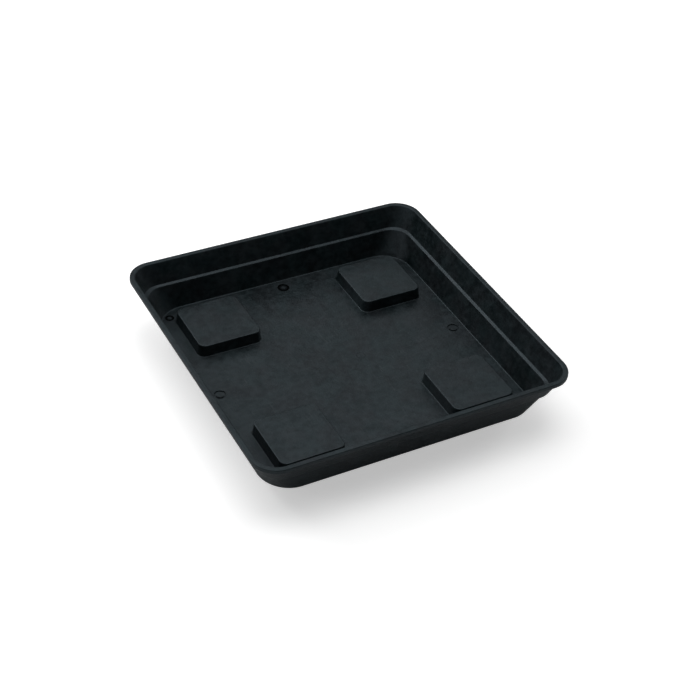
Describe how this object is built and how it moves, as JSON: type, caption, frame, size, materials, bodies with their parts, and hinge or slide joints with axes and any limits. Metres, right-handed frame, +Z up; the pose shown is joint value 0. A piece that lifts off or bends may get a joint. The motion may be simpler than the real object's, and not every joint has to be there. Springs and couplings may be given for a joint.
{
  "type": "plant pot caddy",
  "caption": "Square moulded plastic tray with a stepped, flared rim and raised pads, rolling on low swivel casters recessed into wells under the pads.",
  "frame": {"origin": "ground level under the middle of the tray", "axes": "+Z up; the front is -Y and the left is -X"},
  "size_m": [0.4, 0.4, 0.082],
  "materials": {
    "tray_plastic": "satin black injection-moulded polypropylene",
    "zinc_steel": "bright zinc-plated pressed steel",
    "bearing_steel": "polished, greased",
    "screw_steel": "zinc-plated",
    "hub_plastic": "satin black nylon",
    "tyre_rubber": "dark grey soft tread"
  },
  "bodies": {
    "tray": {"tray": "tray_plastic", "front_left_caster_plate": "zinc_steel", "front_left_kingpin": "zinc_steel", "front_left_mounting_screws": "screw_steel", "front_right_caster_plate": "zinc_steel", "front_right_kingpin": "zinc_steel", "front_right_mounting_screws": "screw_steel", "rear_left_caster_plate": "zinc_steel", "rear_left_kingpin": "zinc_steel", "rear_left_mounting_screws": "screw_steel", "rear_right_caster_plate": "zinc_steel", "rear_right_kingpin": "zinc_steel", "rear_right_mounting_screws": "screw_steel"},
    "front_left_swivel": {"front_left_fork": "zinc_steel", "front_left_bearing_balls": "bearing_steel", "front_left_wheel_axle": "zinc_steel"},
    "front_left_wheel": {"front_left_wheel_hub": "hub_plastic", "front_left_tyre": "tyre_rubber"},
    "front_right_swivel": {"front_right_fork": "zinc_steel", "front_right_bearing_balls": "bearing_steel", "front_right_wheel_axle": "zinc_steel"},
    "front_right_wheel": {"front_right_wheel_hub": "hub_plastic", "front_right_tyre": "tyre_rubber"},
    "rear_left_swivel": {"rear_left_fork": "zinc_steel", "rear_left_bearing_balls": "bearing_steel", "rear_left_wheel_axle": "zinc_steel"},
    "rear_left_wheel": {"rear_left_wheel_hub": "hub_plastic", "rear_left_tyre": "tyre_rubber"},
    "rear_right_swivel": {"rear_right_fork": "zinc_steel", "rear_right_bearing_balls": "bearing_steel", "rear_right_wheel_axle": "zinc_steel"},
    "rear_right_wheel": {"rear_right_wheel_hub": "hub_plastic", "rear_right_tyre": "tyre_rubber"}
  },
  "joints": [
    {"name": "front_left_swivel_turn", "type": "hinge", "parent": "tray", "child": "front_left_swivel", "pos_m": [-0.1112, -0.1112, 0.029], "axis": [0, 0, 1], "continuous": true},
    {"name": "front_left_wheel_spin", "type": "hinge", "parent": "front_left_swivel", "child": "front_left_wheel", "pos_m": [-0.1013, -0.1013, 0.0125], "axis": [-0.7071, 0.7071, 0], "continuous": true},
    {"name": "front_right_swivel_turn", "type": "hinge", "parent": "tray", "child": "front_right_swivel", "pos_m": [0.1112, -0.1112, 0.029], "axis": [0, 0, 1], "continuous": true},
    {"name": "front_right_wheel_spin", "type": "hinge", "parent": "front_right_swivel", "child": "front_right_wheel", "pos_m": [0.1013, -0.1013, 0.0125], "axis": [-0.7071, -0.7071, 0], "continuous": true},
    {"name": "rear_left_swivel_turn", "type": "hinge", "parent": "tray", "child": "rear_left_swivel", "pos_m": [-0.1112, 0.1112, 0.029], "axis": [0, 0, 1], "continuous": true},
    {"name": "rear_left_wheel_spin", "type": "hinge", "parent": "rear_left_swivel", "child": "rear_left_wheel", "pos_m": [-0.1013, 0.1013, 0.0125], "axis": [0.7071, 0.7071, 0], "continuous": true},
    {"name": "rear_right_swivel_turn", "type": "hinge", "parent": "tray", "child": "rear_right_swivel", "pos_m": [0.1112, 0.1112, 0.029], "axis": [0, 0, 1], "continuous": true},
    {"name": "rear_right_wheel_spin", "type": "hinge", "parent": "rear_right_swivel", "child": "rear_right_wheel", "pos_m": [0.1013, 0.1013, 0.0125], "axis": [0.7071, -0.7071, 0], "continuous": true}
  ]
}
